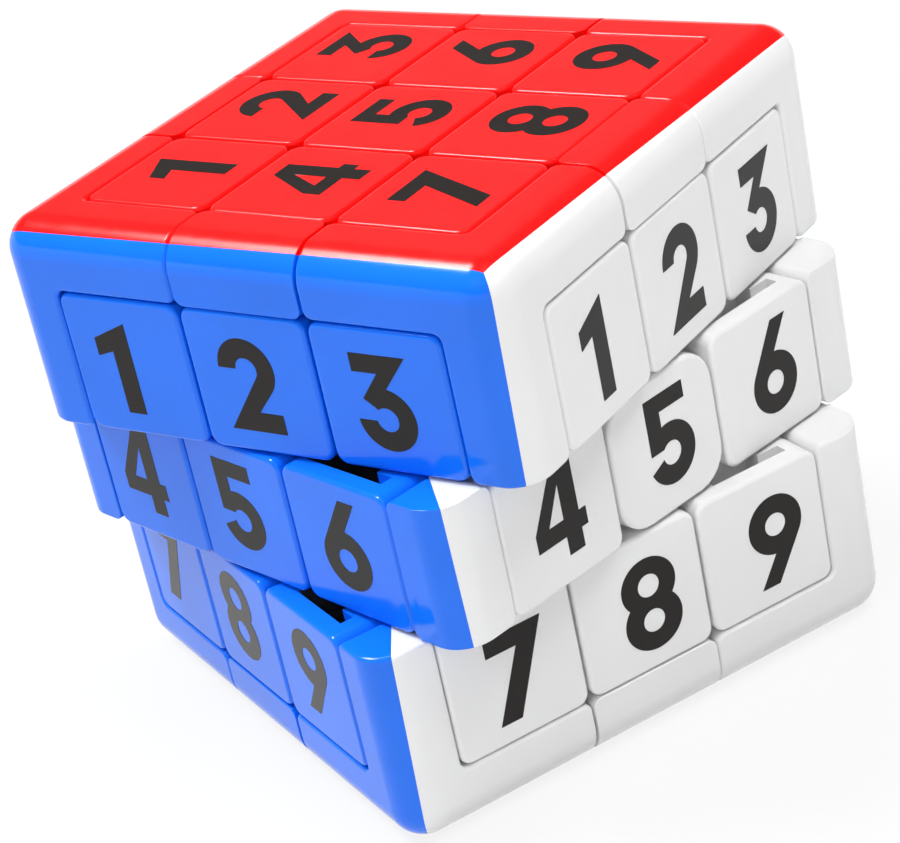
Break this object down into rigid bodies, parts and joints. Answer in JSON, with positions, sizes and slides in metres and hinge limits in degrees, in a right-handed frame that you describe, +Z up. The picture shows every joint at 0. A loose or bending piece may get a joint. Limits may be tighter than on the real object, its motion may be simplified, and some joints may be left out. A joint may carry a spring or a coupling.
{
  "type": "sudoku cube",
  "caption": "Turning puzzle cube of three layers, with a number on each square tile and a rounded rim round each coloured face.",
  "frame": {"origin": "middle of the bottom face, on the layers' turning axis", "axes": "+Z up along the layers' turning axis, through the red face; -Y towards the middle layer's blue face, +X towards its white face"},
  "size_m": [0.0664, 0.0664, 0.057],
  "materials": {
    "red_plastic": "moulded gloss",
    "orange_plastic": "moulded gloss",
    "blue_plastic": "moulded gloss",
    "green_plastic": "moulded gloss",
    "white_plastic": "moulded gloss",
    "yellow_plastic": "moulded gloss",
    "dark_plastic": "moulded, for the pieces inside",
    "digit_print": "printed digits",
    "screw_steel": "plated",
    "spring_steel": "drawn wire"
  },
  "bodies": {
    "middle_layer": {"core": "dark_plastic", "top_screw": "screw_steel", "bottom_screw": "screw_steel", "front_screw": "screw_steel", "back_screw": "screw_steel", "right_screw": "screw_steel", "left_screw": "screw_steel", "front_spring": "spring_steel", "right_spring": "spring_steel", "back_spring": "spring_steel", "left_spring": "spring_steel", "front_right_edge_front_half": "blue_plastic", "front_right_edge_right_half": "white_plastic", "front_left_edge_front_half": "blue_plastic", "front_left_edge_left_half": "yellow_plastic", "back_right_edge_back_half": "green_plastic", "back_right_edge_right_half": "white_plastic", "back_left_edge_back_half": "green_plastic", "back_left_edge_left_half": "yellow_plastic"},
    "top_spring_seat": {"top_spring": "spring_steel"},
    "top_layer": {"top_centre": "dark_plastic", "top_centre_cap": "red_plastic", "top_front_edge_top_half": "red_plastic", "top_front_edge_front_half": "blue_plastic", "top_back_edge_top_half": "red_plastic", "top_back_edge_back_half": "green_plastic", "top_right_edge_top_half": "red_plastic", "top_right_edge_right_half": "white_plastic", "top_left_edge_top_half": "red_plastic", "top_left_edge_left_half": "yellow_plastic", "top_front_right_corner": "dark_plastic", "top_front_left_corner": "dark_plastic", "top_back_right_corner": "dark_plastic", "top_back_left_corner": "dark_plastic"},
    "bottom_spring_seat": {"bottom_spring": "spring_steel"},
    "bottom_layer": {"bottom_centre": "dark_plastic", "bottom_centre_cap": "orange_plastic", "bottom_front_edge_bottom_half": "orange_plastic", "bottom_front_edge_front_half": "blue_plastic", "bottom_back_edge_bottom_half": "orange_plastic", "bottom_back_edge_back_half": "green_plastic", "bottom_right_edge_bottom_half": "orange_plastic", "bottom_right_edge_right_half": "white_plastic", "bottom_left_edge_bottom_half": "orange_plastic", "bottom_left_edge_left_half": "yellow_plastic", "bottom_front_right_corner": "dark_plastic", "bottom_front_left_corner": "dark_plastic", "bottom_back_right_corner": "dark_plastic", "bottom_back_left_corner": "dark_plastic"},
    "front_centre": {"front_centre": "dark_plastic", "front_centre_cap": "blue_plastic"},
    "right_centre": {"right_centre": "dark_plastic", "right_centre_cap": "white_plastic"},
    "back_centre": {"back_centre": "dark_plastic", "back_centre_cap": "green_plastic"},
    "left_centre": {"left_centre": "dark_plastic", "left_centre_cap": "yellow_plastic"}
  },
  "joints": [
    {"name": "top_layer_float", "type": "slide", "parent": "middle_layer", "child": "top_spring_seat", "axis": [0, 0, 1], "range_m": [0, 0.0004], "stiffness_N_per_m": 800, "springref_m": -0.002, "deforming": ["top_spring"]},
    {"name": "top_layer_turn", "type": "hinge", "parent": "top_spring_seat", "child": "top_layer", "pos_m": [0, 0, 0.0285], "axis": [0, 0, 1], "continuous": true},
    {"name": "bottom_layer_float", "type": "slide", "parent": "middle_layer", "child": "bottom_spring_seat", "axis": [0, 0, -1], "range_m": [0, 0.0004], "stiffness_N_per_m": 800, "springref_m": -0.002, "deforming": ["bottom_spring"]},
    {"name": "bottom_layer_turn", "type": "hinge", "parent": "bottom_spring_seat", "child": "bottom_layer", "pos_m": [0, 0, 0.0285], "axis": [0, 0, 1], "continuous": true},
    {"name": "front_centre_float", "type": "slide", "parent": "middle_layer", "child": "front_centre", "axis": [0, -1, 0], "range_m": [0, 0.0004], "stiffness_N_per_m": 800, "springref_m": -0.002, "deforming": ["front_spring"]},
    {"name": "right_centre_float", "type": "slide", "parent": "middle_layer", "child": "right_centre", "axis": [1, 0, 0], "range_m": [0, 0.0004], "stiffness_N_per_m": 800, "springref_m": -0.002, "deforming": ["right_spring"]},
    {"name": "back_centre_float", "type": "slide", "parent": "middle_layer", "child": "back_centre", "axis": [0, 1, 0], "range_m": [0, 0.0004], "stiffness_N_per_m": 800, "springref_m": -0.002, "deforming": ["back_spring"]},
    {"name": "left_centre_float", "type": "slide", "parent": "middle_layer", "child": "left_centre", "axis": [-1, 0, 0], "range_m": [0, 0.0004], "stiffness_N_per_m": 800, "springref_m": -0.002, "deforming": ["left_spring"]}
  ]
}
